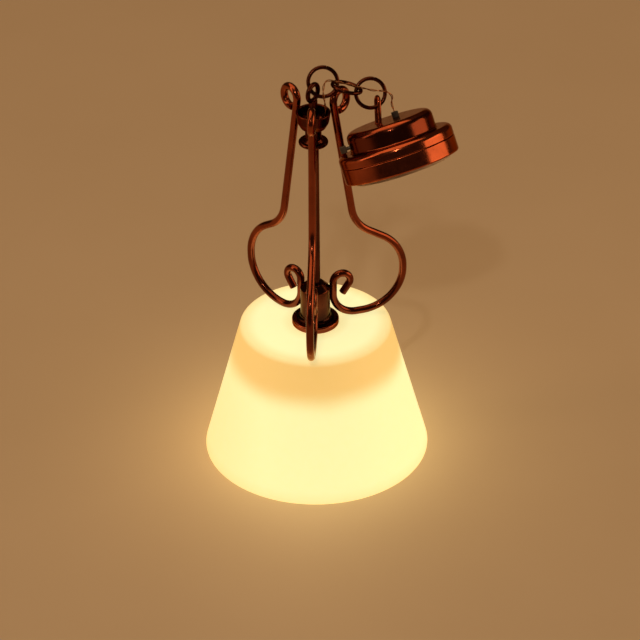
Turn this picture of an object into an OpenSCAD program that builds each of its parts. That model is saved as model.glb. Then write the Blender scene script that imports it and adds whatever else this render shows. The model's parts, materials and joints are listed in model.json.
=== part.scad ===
// Dolls house ceiling lamp, 1:12 scale, standing on the rim of its shade.
// The origin is the centre of the shade's open rim and +Z points up the lamp's axis.
// All sizes are in millimetres.

/* [Shade] */
// Diameter of the open rim
shade_rim_d = 30; // [24:0.5:40]
// Diameter where the side would meet the flat top
shade_top_d = 19.8; // [16:0.2:24]
// Height of the shade
shade_h = 19; // [16:0.5:24]
// Thickness of the moulded wall
shade_wall = 0.8; // [0.5:0.1:1.2]
// Radius of the rounded edge round the top
shade_edge_r = 0.7; // [0.4:0.1:1]

/* [Hub and stem] */
// Diameter of the flat flange on the shade
flange_d = 6.2; // [5:0.1:8]
// Thickness of the flange
flange_t = 0.8; // [0.5:0.1:1.2]
// Diameter of the hub that the arms are soldered to
hub_d = 3.9; // [3.4:0.1:3.9]
// Height of the hub
hub_h = 5.4; // [4.5:0.1:6]
// Outside diameter of the stem tube
stem_d = 1.4; // [1.2:0.1:1.6]
// Bore of the stem tube, which carries the lead
stem_bore = 0.8; // [0.5:0.1:0.9]
// Height of the middle of the collar under the cup
collar_z = 46.3; // [45:0.1:47]
// Diameter of the collar
collar_d = 3.8; // [3:0.1:4.4]
// Height of the cup's rim
cup_rim_z = 50.7; // [50:0.1:51]
// Diameter of the cup's rim
cup_rim_d = 4.5; // [4:0.1:4.5]
// Height of the middle of the eye
eye_z = 53.4; // [53:0.1:54]

/* [Arms] */
// Diameter of the arm wire
arm_wire = 1; // [0.8:0.1:1]
// Direction of the right arm, counted round the axis from +X
right_azimuth = 16; // [10:1:22]
// Direction of the left arm
left_azimuth = 139; // [130:1:146]
// Direction of the front arm
front_azimuth = -93; // [-105:1:-84]
// Distance of the stem's top from the axis
arm_top_r = 2.69; // [2.69:0.01:2.9]
// Height where the stem runs into its top loop
arm_top_z = 51.2; // [50.8:0.1:51.6]
// Lean of the straight stem away from the axis, in degrees
arm_lean = 8.5; // [7:0.5:9]
// Length of the left arm's straight stem
arm_stem_l = 16.64; // [15.5:0.01:16.8]
// How much further out the right arm's bulge stands than the left arm's
right_reach = 0.85; // [0.1:0.05:1.2]
// How much further out the front arm's bulge stands than the left arm's
front_reach = 2.2; // [0.1:0.05:2.4]
// Radius of the top loop, to the middle of the wire
arm_loop_r = 1.35; // [1.3:0.05:1.4]

/* [Chain] */
// Radius of a chain ring, to the middle of the wire
ring_r = 1.85; // [1.8:0.01:1.95]
// Diameter of the ring wire
ring_wire = 0.5; // [0.4:0.05:0.5]
// Distance from one ring's middle to the next
ring_pitch = 3.09; // [3:0.01:3.1]
// Downward slope of the chain, in degrees
chain_drop = 14; // [12:1:16]
// Direction of the chain round the axis, in degrees
chain_azimuth = -3; // [-4:1:-2]

/* [Canopy] */
// Diameter of the wide tier
canopy_d = 15; // [14.6:0.1:15.2]
// Diameter of the narrow tier
canopy_top_d = 11.3; // [10.8:0.1:11.6]
// Height of the lower shell
base_h = 2.1; // [2.1:0.1:2.4]
// Height of the shoulder of the wide tier
shoulder_z = 3.6; // [3.6:0.1:3.8]
// Height of the flat top
canopy_h = 6.2; // [6.2:0.1:6.8]
// Thickness of the pressed brass
canopy_wall = 0.35; // [0.25:0.05:0.35]
// Diameter of the coin cell
cell_d = 12.5; // [12:0.1:12.5]
// Thickness of the coin cell
cell_h = 2; // [1.6:0.1:2]

/* [Hidden] */
$fn = 96;
GAP = 0.025;                    // running gap on the stem and other slip fits
shade_slope = atan((shade_rim_d - shade_top_d) / 2 / shade_h);
top_in_z = shade_h - shade_wall;
hub_z = shade_h + flange_t;
holder_top_z = 16.6;
holder_h = 4.2;
led_z = holder_top_z - holder_h;
nut_h = 0.9;
washer_t = 0.25;
neck_d = 2.1;
neck_top_z = 48.1;
stem_top_z = 47;
arm_s_turn = 49.5;              // the first bend of the arm's S
arm_loop_turn = 294;
right_twist = 36;               // turn of the right arm's top loop about its stem
left_twist = -12;
eye_r = 1.1;
eye_wire = 0.6;
eye_azimuth = -35;
ring_roll = 60;                 // turn of rings 1 and 3 about the chain's direction
middle_roll = -10;              // turn of ring 2 about the chain's direction
eye_at = -120;                  // where the eye sits on ring 1, from the chain's direction
canopy_at = [11.25, -3.5, 44.52]; // middle of the canopy's lower rim
canopy_turn = [-25.4, -14.8, 10];
tongue_x = -1.2;                // the hanging loop's place on the flat top
loop_wire = 0.48;
loop_half_w = 0.72;
loop_h = 3.35;
loop_turn = 12;                 // turn of the loop's plane about the canopy's axis
loop_tip = 16;                  // tip of the loop away from the canopy's axis
ferrule_at = [1.2, 0.9, 0];
switch_z = 4.47;
shank_d = 1.15;
shank_bore = 0.6;               // passage for the lead, up the eye's shank and out of its side
lead_exit_z = 49;               // where the passage turns to the shank's side
lead_exit_azimuth = -30;
wire_d = 0.24;                  // one of the two wires inside the stem
lead_d = 0.3;                   // the two wires twisted together
lead_route = [                  // from the stem's top, along the chain, to the canopy's ferrule
    [0, 0, 47], [0, 0, 48], [0.02, 0, 48.8], [0.5, -0.28, 49.35], [1.1, -0.65, 49.9],
    [1.45, -0.8, 50.7], [1.55, -1, 51.7], [1.45, -1.1, 52.8], [1.3, -0.9, 53.8],
    [1.4, -0.3, 54.6],
    [1.75, 0.15, 54.95], [2.4, 0.36, 54.9], [3.1, 0.36, 54.7], [4.4, 0.3, 54.38],
    [5.6, 0.24, 54.08], [7.4, 0.15, 53.62],
    [8.35, -0.03, 53.62], [9.14, 0.1, 53.46],
    [9.65, 0.2, 53.07], [9.99, 0.48, 52.44], [9.95, 0.58, 51.45], [10.27, 0.17, 50.5]
];

// ---- shared shapes ----

// a closed ring of round wire lying flat
module wire_ring(r, wire) {
    rotate_extrude() translate([r, 0]) circle(d = wire);
}

// a round disc with a round hole
module washer(d, hole, h) {
    difference() {
        cylinder(d = d, h = h);
        translate([0, 0, -1]) cylinder(d = hole, h = h + 2);
    }
}

// Round wire bent along a path of steps, starting at the origin and heading along +X in the XY plane.
// Each step is [length, 0] for a straight run, or [radius, angle] for a bend, left when positive.
// A ball a hair thicker than the wire stands where two steps meet, so that they join as one solid.
module bent_wire(path, wire, i = 0) {
    if (i < len(path)) {
        size = path[i][0];
        turn = path[i][1];
        side = turn < 0 ? -1 : 1;
        if (i > 0) sphere(d = wire + 0.02);
        if (turn == 0) {
            rotate([0, 90, 0]) cylinder(d = wire, h = size);
            translate([size, 0, 0]) bent_wire(path, wire, i + 1);
        } else {
            translate([0, side * size, 0]) {
                rotate([0, 0, turn > 0 ? -90 : 90 + turn])
                    rotate_extrude(angle = abs(turn)) translate([size, 0]) circle(d = wire);
                rotate([0, 0, turn]) translate([0, -side * size, 0]) bent_wire(path, wire, i + 1);
            }
        }
    }
}

// ---- shade, hub and lamp ----

// outline of a cone with a flat top and one rounded edge, drawn from the axis outwards
module shade_outline(rim_r, top_r, h, edge_r) {
    slope = atan((rim_r - top_r) / h);
    edge_x = rim_r - (h - edge_r) * tan(slope) - edge_r / cos(slope);
    edge_z = h - edge_r;
    polygon([
        [0, 0], [rim_r, 0],
        [edge_x + edge_r * cos(slope), edge_z + edge_r * sin(slope)],
        [edge_x, edge_z], [edge_x, h], [0, h]
    ]);
    translate([edge_x, edge_z]) circle(r = edge_r);
}

module shade() {
    color("lemonchiffon") difference() {
        rotate_extrude() intersection() {
            shade_outline(shade_rim_d / 2, shade_top_d / 2, shade_h, shade_edge_r);
            square([shade_rim_d, shade_h]);
        }
        translate([0, 0, -0.01]) cylinder(
            r1 = shade_rim_d / 2 - shade_wall / cos(shade_slope),
            r2 = shade_top_d / 2 - shade_wall / cos(shade_slope) + shade_wall * tan(shade_slope),
            h = top_in_z + 0.01);
        cylinder(d = stem_d + 2 * GAP, h = shade_h + 1);
    }
}

module shade_flange() {
    color("saddlebrown") translate([0, 0, shade_h]) difference() {
        union() {
            cylinder(d = flange_d, h = flange_t - 0.15);
            translate([0, 0, flange_t - 0.15])
                cylinder(d1 = flange_d, d2 = flange_d - 0.3, h = 0.15);
        }
        translate([0, 0, -1]) cylinder(d = stem_d + 2 * GAP, h = flange_t + 2);
    }
}

// a turned hub: a concave foot, a straight waist and a sloped shoulder
module arm_hub() {
    foot_h = 0.9;
    shoulder_h = 0.8;
    color("saddlebrown") translate([0, 0, hub_z]) difference() {
        union() {
            difference() {
                cylinder(d = hub_d + 2 * foot_h * 0.6, h = foot_h * 0.6);
                translate([0, 0, foot_h * 0.6]) wire_ring(hub_d / 2 + foot_h * 0.6, foot_h);
            }
            cylinder(d = hub_d, h = hub_h - shoulder_h);
            translate([0, 0, hub_h - shoulder_h])
                cylinder(d1 = hub_d, d2 = stem_d + 0.8, h = shoulder_h);
        }
        translate([0, 0, -1]) cylinder(d = stem_d + 2 * GAP, h = hub_h + 2);
    }
}

module stem_tube() {
    color("sienna") translate([0, 0, holder_top_z - 1]) difference() {
        cylinder(d = stem_d, h = stem_top_z - holder_top_z + 1);
        translate([0, 0, -1]) cylinder(d = stem_bore, h = stem_top_z);
    }
}

module stem_washer() {
    color("silver") translate([0, 0, top_in_z - washer_t]) washer(4.4, stem_d + 2 * GAP, washer_t);
}

module stem_nut() {
    color("goldenrod") translate([0, 0, top_in_z - washer_t - nut_h]) difference() {
        cylinder(d = 3.5, h = nut_h, $fn = 6);
        translate([0, 0, -1]) cylinder(d = stem_d + 2 * GAP, h = nut_h + 2);
    }
}

// white socket on the end of the stem: a bore for the stem above, a recess for the lamp below
module led_holder() {
    color("ivory") translate([0, 0, led_z]) difference() {
        cylinder(d = 4.4, h = holder_h);
        translate([0, 0, holder_h - 1]) cylinder(d = stem_d + 2 * GAP, h = 2);
        translate([0, 0, -1]) cylinder(d = 3.9, h = 1.7);
        for (side = [-1, 1]) translate([side * 0.6, 0, 0]) cylinder(d = 0.5, h = 3);
        translate([0, 0, 2]) cylinder(d = 1.8, h = 1.3);
    }
}

// a 3 mm lamp facing down: flange, barrel and dome, with its two pins inside the holder
module led() {
    barrel_h = 2.6;
    color("khaki") translate([0, 0, led_z]) {
        translate([0, 0, 0.1]) cylinder(d = 3.6, h = 0.5);
        translate([0, 0, -barrel_h]) cylinder(d = 3, h = barrel_h + 0.3);
        translate([0, 0, -barrel_h]) intersection() {
            sphere(d = 3);
            translate([0, 0, -2]) cylinder(d = 4, h = 2.1);
        }
        for (side = [-1, 1]) translate([side * 0.6, 0, 0.5]) cylinder(d = 0.4, h = 2.2);
    }
}

// ---- cup and eye at the top of the stem ----

// a thin turned dish with a rounded rim
module stem_collar() {
    color("saddlebrown") translate([0, 0, collar_z]) difference() {
        union() {
            cylinder(d = collar_d - 0.5, h = 0.5, center = true);
            wire_ring(collar_d / 2 - 0.25, 0.5);
            translate([0, 0, 0.25]) cylinder(d1 = 2.6, d2 = neck_d, h = 0.35);
        }
        cylinder(d = stem_d + 2 * GAP, h = 3, center = true);
    }
}

// a bell-shaped cup open at the top, on a short neck that the stem is soldered into
module bell_cup() {
    neck_z = collar_z + 0.6;
    rim_r = cup_rim_d / 2;
    wall = 0.3;
    color("saddlebrown") difference() {
        rotate_extrude() polygon([
            [0, neck_z], [neck_d / 2, neck_z], [neck_d / 2, neck_top_z],
            [rim_r * 0.72, neck_top_z + 0.4], [rim_r * 0.9, neck_top_z + 1.15],
            [rim_r, cup_rim_z], [rim_r - wall, cup_rim_z],
            [rim_r * 0.9 - wall, neck_top_z + 1.2], [rim_r * 0.72 - 0.4, neck_top_z + 0.5],
            [0, neck_top_z + 0.5]
        ]);
        translate([0, 0, neck_z - 1]) cylinder(d = stem_d + 2 * GAP, h = stem_top_z - neck_z + 1.02);
        translate([0, 0, stem_top_z]) cylinder(d = 1.2, h = 3);
    }
}

// a hollow shank that stands in the cup's floor, lets the lead out and carries the chain's eye
module eye_post() {
    color("saddlebrown") {
        difference() {
            translate([0, 0, stem_top_z + 0.02]) cylinder(d = shank_d, h = eye_z - eye_r - stem_top_z + 0.1);
            translate([0, 0, stem_top_z - 1]) cylinder(d = shank_bore, h = lead_exit_z - stem_top_z + 1);
            translate([0, 0, lead_exit_z]) {
                sphere(d = shank_bore);
                rotate([0, 52, lead_exit_azimuth]) cylinder(d = shank_bore, h = shank_d);
            }
        }
        translate([0, 0, eye_z]) rotate([0, 0, eye_azimuth]) rotate([0, 90, 0]) wire_ring(eye_r, eye_wire);
    }
}

// ---- arms ----

// One arm in the XZ plane: the leaning stem, an S bend out to the bulge, the turn under it,
// a short rise beside the hub and a small scroll. The top loop turns outwards from the stem's top,
// and its plane may be twisted about the stem. A longer reach makes the slope of the S bend longer
// and the stem shorter, and adds a straight piece under the bulge, so the rise stays at the hub.
module arm(azimuth, reach, twist) {
    slope = arm_s_turn - 90 + arm_lean;
    slope_l = reach / (cos(slope) + sin(slope) * tan(arm_lean));
    stem_l = arm_stem_l + slope_l * sin(slope) / cos(arm_lean);
    under = reach > 0 ? [[reach, 0]] : [];
    color("sienna") rotate([0, 0, azimuth]) rotate([90, 0, 0]) translate([arm_top_r, arm_top_z, 0]) {
        rotate([0, 0, 90 + arm_lean]) rotate([twist, 0, 0])
            bent_wire([[arm_loop_r, -arm_loop_turn]], arm_wire);
        sphere(d = arm_wire + 0.02);
        rotate([0, 0, arm_lean - 90]) bent_wire(concat(
            [[stem_l, 0], [5, arm_s_turn], [1.12 + slope_l, 0], [6, -arm_s_turn - arm_lean]],
            [[0.3, 0], [5.6, -90]], under, [[3.15, -90]],
            [[1.9, 0], [1.15, -180], [1, -34], [1.6, 0]]
        ), arm_wire);
    }
}

module arm_right() { arm(right_azimuth, right_reach, right_twist); }
module arm_left() { arm(left_azimuth, 0, left_twist); }
module arm_front() { arm(front_azimuth, front_reach, 0); }

// ---- chain ----

// the frame of one ring, with +X along the chain and the origin at the ring's middle
module chain_frame(step, roll) {
    translate([0, 0, eye_z]) rotate([0, chain_drop, chain_azimuth])
        translate([-ring_r * cos(eye_at), -ring_r * sin(eye_at) * cos(ring_roll),
                   -ring_r * sin(eye_at) * sin(ring_roll)])
            translate([step * ring_pitch, 0, 0]) rotate([roll, 0, 0]) children();
}

module ring_1() { color("sienna") chain_frame(0, ring_roll) wire_ring(ring_r, ring_wire); }
module ring_2() { color("sienna") chain_frame(1, middle_roll) wire_ring(ring_r, ring_wire); }
module ring_3() { color("sienna") chain_frame(2, ring_roll) wire_ring(ring_r, ring_wire); }

// ---- canopy ----

// the canopy's own frame: +Z from its ceiling side to its narrow tier
module canopy_frame() {
    translate(canopy_at) rotate(canopy_turn) children();
}

// a stirrup of wire whose feet turn in the canopy's top
module hanging_loop() {
    leg = loop_h - loop_half_w + 0.2;
    color("peru") canopy_frame() translate([tongue_x, 0, canopy_h]) rotate([0, 0, loop_turn])
        rotate([0, loop_tip, 0]) translate([0, 0, -0.2]) {
            for (side = [-1, 1]) translate([0, side * loop_half_w, 0]) cylinder(d = loop_wire, h = leg);
            translate([0, 0, leg]) rotate([0, -90, 0]) rotate([0, 0, -90])
                rotate_extrude(angle = 180) translate([loop_half_w, 0]) circle(d = loop_wire);
        }
}

// half of the cap's outline, drawn from the axis outwards and pulled in by the wall for the inside
module cap_outline(inset) {
    wide_r = canopy_d / 2 - inset;
    narrow_r = canopy_top_d / 2 - inset;
    wide_edge = 0.9 - inset / 2;
    narrow_edge = 0.9 - inset / 2;
    shoulder = shoulder_z - inset;
    top = canopy_h - inset;
    square([wide_r, shoulder - wide_edge]);
    square([wide_r - wide_edge, shoulder]);
    translate([wide_r - wide_edge, shoulder - wide_edge]) circle(r = wide_edge);
    square([narrow_r, top - narrow_edge]);
    square([narrow_r - narrow_edge, top]);
    translate([narrow_r - narrow_edge, top - narrow_edge]) circle(r = narrow_edge);
}

// pressed two-tier cap with a hole for the lead, a slot for the loop's feet and one for the switch
module canopy_cap() {
    color("chocolate") canopy_frame() difference() {
        rotate_extrude() intersection() {
            cap_outline(0);
            translate([0, base_h]) square([canopy_d, canopy_h]);
        }
        rotate_extrude() intersection() {
            cap_outline(canopy_wall);
            translate([0, base_h - 1]) square([canopy_d, canopy_h]);
        }
        translate(ferrule_at) cylinder(d = 0.9 + 2 * GAP, h = canopy_h + 1);
        translate([tongue_x, 0, canopy_h - 0.5]) rotate([0, 0, loop_turn])
            for (side = [-1, 1]) translate([-0.4, side * loop_half_w - 0.3, 0]) cube([0.8, 0.6, 1]);
        translate([-canopy_top_d / 2 - 1, -1.1, switch_z - 0.35]) cube([2, 2.2, 0.7]);
    }
}

module lead_ferrule() {
    color("black") canopy_frame() translate(ferrule_at) translate([0, 0, canopy_h - 0.6])
        washer(0.9, 0.4, 1.3);
}

// round board above the cell that carries the switch and the lead
module contact_board() {
    color("darkgreen") canopy_frame() translate([0, 0, shoulder_z + 0.1]) difference() {
        cylinder(d = 10, h = 0.3);
        translate([ferrule_at[0], ferrule_at[1], -1]) cylinder(d = 0.7, h = 2);
    }
}

// spring clip that presses on the cell from the board
module battery_clip() {
    color("gold") canopy_frame() translate([0, 0, shoulder_z - 0.25]) {
        cylinder(d = 3, h = 0.15);
        cylinder(d = 1, h = 0.33);
    }
}

module switch_body() {
    color("dimgray") canopy_frame() translate([-4.9, -1.5, shoulder_z + 0.42]) difference() {
        cube([2, 3, 0.9]);
        translate([-0.1, 0.4, 0.2]) cube([0.9, 2.2, 0.5]);
    }
}

// slider of the switch, with its thumb piece outside the cap
module switch_knob() {
    color("lightgray") canopy_frame() translate([0, -0.95, switch_z]) {
        translate([-6.7, 0.1, -0.2]) cube([2.3, 0.7, 0.4]);
        translate([-6.85, 0, -0.45]) cube([0.9, 0.9, 0.9]);
    }
}

// lower shell: a shallow dish whose spigot pushes up inside the cap
module canopy_base() {
    spigot_h = 0.6;
    spigot_r = canopy_d / 2 - canopy_wall - GAP;
    color("chocolate") canopy_frame() difference() {
        union() {
            cylinder(d = canopy_d, h = base_h - 0.15);
            translate([0, 0, base_h - 0.15]) cylinder(d1 = canopy_d, d2 = canopy_d - 0.4, h = 0.13);
            cylinder(r = spigot_r, h = base_h + spigot_h - 0.3);
        }
        translate([0, 0, canopy_wall]) cylinder(r = spigot_r - 0.3, h = canopy_h);
    }
}

module base_magnet() {
    color("silver") canopy_frame() translate([0, 0, canopy_wall]) cylinder(d = 8, h = 0.45);
}

module base_contact() {
    color("gold") canopy_frame() translate([0, 0, 0.82]) {
        cylinder(d = 9, h = 0.15);
        cylinder(d = 3, h = 0.35);
    }
}

module coin_cell() {
    color("gainsboro") canopy_frame() translate([0, 0, 1.2]) {
        cylinder(d = cell_d - 1.6, h = 0.3);
        translate([0, 0, 0.2]) cylinder(d = cell_d, h = cell_h - 0.25);
    }
}

// pale pad that the canopy is stuck to the ceiling with
module ceiling_pad() {
    color("whitesmoke") canopy_frame() translate([0, 0, -0.45]) cylinder(d = canopy_d - 2.4, h = 0.43);
}

// ---- lead ----

// the point at place s on a smooth curve through the route's points, which stand at 0, 1, 2 and so on
function along(route, s) =
    let (
        last = len(route) - 1,
        i = min(floor(s), last - 1),
        t = s - i,
        a = route[max(i - 1, 0)], b = route[i], c = route[i + 1], d = route[min(i + 2, last)]
    )
    0.5 * (2 * b + (c - a) * t + (2 * a - 5 * b + 4 * c - d) * t * t + (3 * b - a - 3 * c + d) * t * t * t);

// the direction of the curve at place s, as a unit vector
function heading(route, s) =
    let (v = along(route, min(s + 0.01, len(route) - 1)) - along(route, max(s - 0.01, 0))) v / norm(v);

// a tube along the route from one of its points to another, with two rings between points
module lead_tube(from, to) {
    sides = 8;
    rings = (to - from) * 2;
    corners = [
        for (i = [0:rings]) let (
            s = from + i / 2,
            forward = heading(lead_route, s),
            across = cross(forward, [0, 1, 0]) / norm(cross(forward, [0, 1, 0])),
            up = cross(forward, across)
        )
        for (k = [0:sides - 1])
            along(lead_route, s) + lead_d / 2 * (cos(k * 360 / sides) * across + sin(k * 360 / sides) * up)
    ];
    walls = [
        for (i = [0:rings - 1]) for (k = [0:sides - 1])
            [i * sides + k, (i + 1) * sides + k, (i + 1) * sides + (k + 1) % sides, i * sides + (k + 1) % sides]
    ];
    ends = [
        [for (k = [0:sides - 1]) k],
        [for (k = [sides - 1:-1:0]) rings * sides + k]
    ];
    color("peru") polyhedron(points = corners, faces = concat(walls, ends));
}

// the two wires inside the stem, each with a foot soldered to a pin of the lamp
module lead_stem() {
    foot_z = led_z + 2.72;
    color("peru") for (side = [-1, 1]) translate([side * 0.14, 0, foot_z]) {
        cylinder(d = wire_d, h = stem_top_z - foot_z - 0.05);
        translate([side * 0.27, 0, 0.1]) cube([0.54, wire_d, 0.2], center = true);
    }
}

module lead_eye() { lead_tube(0, 9); }
module lead_ring_1() { lead_tube(9, 13); }
module lead_ring_2() { lead_tube(13, 15); }
module lead_ring_3() { lead_tube(15, 17); }
module lead_loop() { lead_tube(17, 21); }

// the end of the lead, through the ferrule to the board
module lead_tail() {
    color("peru") canopy_frame() translate([ferrule_at[0], ferrule_at[1], shoulder_z + 0.42])
        cylinder(d = lead_d, h = canopy_h + 0.7 - shoulder_z - 0.44);
}

shade();
shade_flange();
arm_hub();
stem_tube();
stem_washer();
stem_nut();
led_holder();
led();
stem_collar();
bell_cup();
eye_post();
arm_right();
arm_left();
arm_front();
ring_1();
ring_2();
ring_3();
hanging_loop();
canopy_cap();
lead_ferrule();
contact_board();
battery_clip();
switch_body();
switch_knob();
canopy_base();
base_magnet();
coin_cell();
base_contact();
ceiling_pad();
lead_stem();
lead_eye();
lead_ring_1();
lead_ring_2();
lead_ring_3();
lead_loop();
lead_tail();
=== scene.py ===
"""Dolls house ceiling lamp: the looks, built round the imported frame.

Lengths inside the shape functions are in millimetres, and `solid` turns them into metres.
Profiles are lists of (radius, height) corners that run anticlockwise, so that faces point outwards.
"""
import json
import math

import bpy
import numpy as np
from mathutils import Matrix, Vector


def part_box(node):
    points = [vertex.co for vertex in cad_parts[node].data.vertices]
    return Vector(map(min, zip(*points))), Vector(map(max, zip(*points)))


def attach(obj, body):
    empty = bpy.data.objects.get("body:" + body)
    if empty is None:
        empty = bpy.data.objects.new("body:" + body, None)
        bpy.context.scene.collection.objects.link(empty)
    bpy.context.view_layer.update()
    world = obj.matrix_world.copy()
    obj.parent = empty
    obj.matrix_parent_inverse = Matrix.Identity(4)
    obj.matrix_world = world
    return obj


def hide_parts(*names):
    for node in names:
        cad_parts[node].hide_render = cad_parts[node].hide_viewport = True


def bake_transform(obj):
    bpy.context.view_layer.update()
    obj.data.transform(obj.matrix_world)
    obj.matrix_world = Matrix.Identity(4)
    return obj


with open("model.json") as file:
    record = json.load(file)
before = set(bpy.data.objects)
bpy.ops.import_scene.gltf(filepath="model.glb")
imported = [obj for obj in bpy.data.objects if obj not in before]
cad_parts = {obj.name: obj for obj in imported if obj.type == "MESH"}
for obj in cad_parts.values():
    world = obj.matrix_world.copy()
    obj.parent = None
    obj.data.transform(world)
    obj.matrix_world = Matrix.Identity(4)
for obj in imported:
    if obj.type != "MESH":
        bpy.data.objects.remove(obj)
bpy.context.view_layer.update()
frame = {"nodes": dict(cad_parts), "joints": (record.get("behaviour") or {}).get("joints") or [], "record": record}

bl_info = {
    "name": "Dolls house ceiling lamp",
    "version": (1, 0, 0),
    "blender": (4, 5, 0),
    "location": "3D View > Sidebar > Lamp",
    "description": "Builds the visible pieces of a battery-run dolls house lamp round its frame",
    "category": "Object",
}

MM = 0.001
AXIS_UP = np.array([0.0, 0.0, 1.0])
AXIS_Y = np.array([0.0, 1.0, 0.0])

# ---- places that the frame gives ----


def millimetres(values):
    """A point or box corner of the frame, in millimetres."""
    return np.array(values, float) / MM


def low_high(node):
    """Lowest and highest corner of a CAD node in millimetres."""
    low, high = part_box(node)
    return millimetres(low), millimetres(high)


def unit(vector):
    """The vector, or each row of vectors, at length 1."""
    vector = np.asarray(vector, float)
    return vector / np.linalg.norm(vector, axis=-1, keepdims=True)


JOINTS = {joint["name"]: joint for joint in frame["joints"]}
MOUNTS = {mount["name"]: mount for mount in frame["record"]["mounts"]}


def joint_place(name):
    """A hinge's point in millimetres."""
    return millimetres(JOINTS[name]["pos_m"])


def joint_axis(name):
    """A joint's axis as a unit vector."""
    return unit(JOINTS[name]["axis"])


# The canopy's own frame has +Z from its ceiling side to its narrow tier, and +Y along the switch's travel.
CANOPY_Z = -joint_axis("base_pull")
CANOPY_Y = joint_axis("switch_slide")
CANOPY_X = np.cross(CANOPY_Y, CANOPY_Z)
CANOPY_TURN = np.stack([CANOPY_X, CANOPY_Y, CANOPY_Z], axis=1)
PAD_MARK = np.array([4.0, 0.0, -0.45])
CANOPY_AT = millimetres(MOUNTS["ceiling_pad_face"]["pos_m"]) - CANOPY_TURN @ PAD_MARK

# The chain runs from the joint between rings 1 and 2 to the joint between rings 2 and 3.
CHAIN_SPAN = joint_place("ring_3_swing") - joint_place("ring_2_swing")
CHAIN_ALONG = unit(CHAIN_SPAN)
RING_R = np.linalg.norm(CHAIN_SPAN) / 2
RING_PITCH = 3.09
RING_2_AT = (joint_place("ring_3_swing") + joint_place("ring_2_swing")) / 2

# ---- sizes that the frame doesn't give ----

ARM_WIRE = 1.0
# azimuth, how much further out the bulge stands than the left arm's, and the top loop's twist
ARMS = {"arm_right": (16.0, 0.85, 36.0), "arm_left": (139.0, 0.0, -12.0), "arm_front": (-93.0, 2.2, 0.0)}
ARM_TOP = (2.69, 51.2)
ARM_LEAN = 8.5
ARM_STEM_L = 16.64
ARM_S_TURN = 49.5
ARM_LOOP = (1.35, -294.0)
LEAD_ROUTE = np.array([
    [0, 0, 47], [0, 0, 48], [0.02, 0, 48.8], [0.5, -0.28, 49.35], [1.1, -0.65, 49.9],
    [1.45, -0.8, 50.7], [1.55, -1, 51.7], [1.45, -1.1, 52.8], [1.3, -0.9, 53.8],
    [1.4, -0.3, 54.6],
    [1.75, 0.15, 54.95], [2.4, 0.36, 54.9], [3.1, 0.36, 54.7], [4.4, 0.3, 54.38],
    [5.6, 0.24, 54.08], [7.4, 0.15, 53.62],
    [8.35, -0.03, 53.62], [9.14, 0.1, 53.46],
    [9.65, 0.2, 53.07], [9.99, 0.48, 52.44], [9.95, 0.58, 51.45], [10.27, 0.17, 50.5],
], float)
LEAD_SPREAD = 0.085
STEM_D = 1.4
STEM_BORE = 0.8
SLIP = 0.025
STEM_HOLE_R = STEM_D / 2 + SLIP
SHADE_TOP_R = 9.9
HUB_R = 1.95
RING_WIRE = 0.5
LOOP_WIRE = 0.48
LOOP_HALF_W = 0.72
EYE_R = 1.1
EYE_WIRE = 0.6
EYE_AZIMUTH = -35.0
CANOPY_D = 15.0
CANOPY_TOP_D = 11.3
CANOPY_WALL = 0.35
BASE_H = 2.1
SHOULDER_Z = 3.6
CANOPY_H = 6.2
FERRULE_AT = np.array([1.2, 0.9, 0.0])
SWITCH_Z = 4.47


def length_setting(name, description, metres):
    """A length setting in metres."""
    return bpy.props.FloatProperty(
        name=name, description=description, default=metres, unit="LENGTH", subtype="DISTANCE")


def colour_setting(name, description, rgb):
    """A colour setting."""
    return bpy.props.FloatVectorProperty(
        name=name, description=description, default=rgb, size=3, subtype="COLOR")


class LampSizes(bpy.types.PropertyGroup):
    """Sizes that change the lamp's look without moving a part of the frame."""

    shade_wall: length_setting("Shade wall", "Thickness of the moulded shade", 0.0008)
    shade_edge: length_setting("Shade edge", "Radius of the rounded edge round the shade's top", 0.0007)
    band_low: length_setting("Band's lower edge", "Height where the dimmer band round the shade begins",
                             0.0113)
    band_soft: length_setting("Band's softness", "Height over which the light fades into the band", 0.0046)
    lead_wire: length_setting("Lead wire", "Diameter of one of the two wires of the lead", 0.000115)
    lead_twist: length_setting("Lead twist", "Length of one turn of the twisted lead", 0.0028)


class LampFinishes(bpy.types.PropertyGroup):
    """Colours of the lamp's finishes."""

    copper: colour_setting("Copper", "Plating where it is rubbed bright", (0.46, 0.105, 0.045))
    # the patina colour is also where the painted shade low on the lamp and on the canopy's narrow tier goes
    patina: colour_setting("Patina", "Plating where it has darkened", (0.15, 0.034, 0.017))
    # the dark patina is also the dark end of the copper painted darker on the hub and tube, which is painted shade
    patina_dark: colour_setting("Dark patina", "The darkest plating, on the chain, cup and collar",
                                (0.030, 0.010, 0.007))
    shade: colour_setting("Shade", "The shade's plastic", (0.80, 0.72, 0.50))
    glow: colour_setting("Glow", "Light through the lower part of the shade", (0.95, 0.96, 0.45))
    glow_band: colour_setting("Glow of the band", "Light through the band above the lamp",
                              (0.82, 0.50, 0.13))
    glow_top: colour_setting("Glow of the top", "Light through the shade's flat top", (0.95, 0.95, 0.49))


# ---- shapes ----


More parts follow.
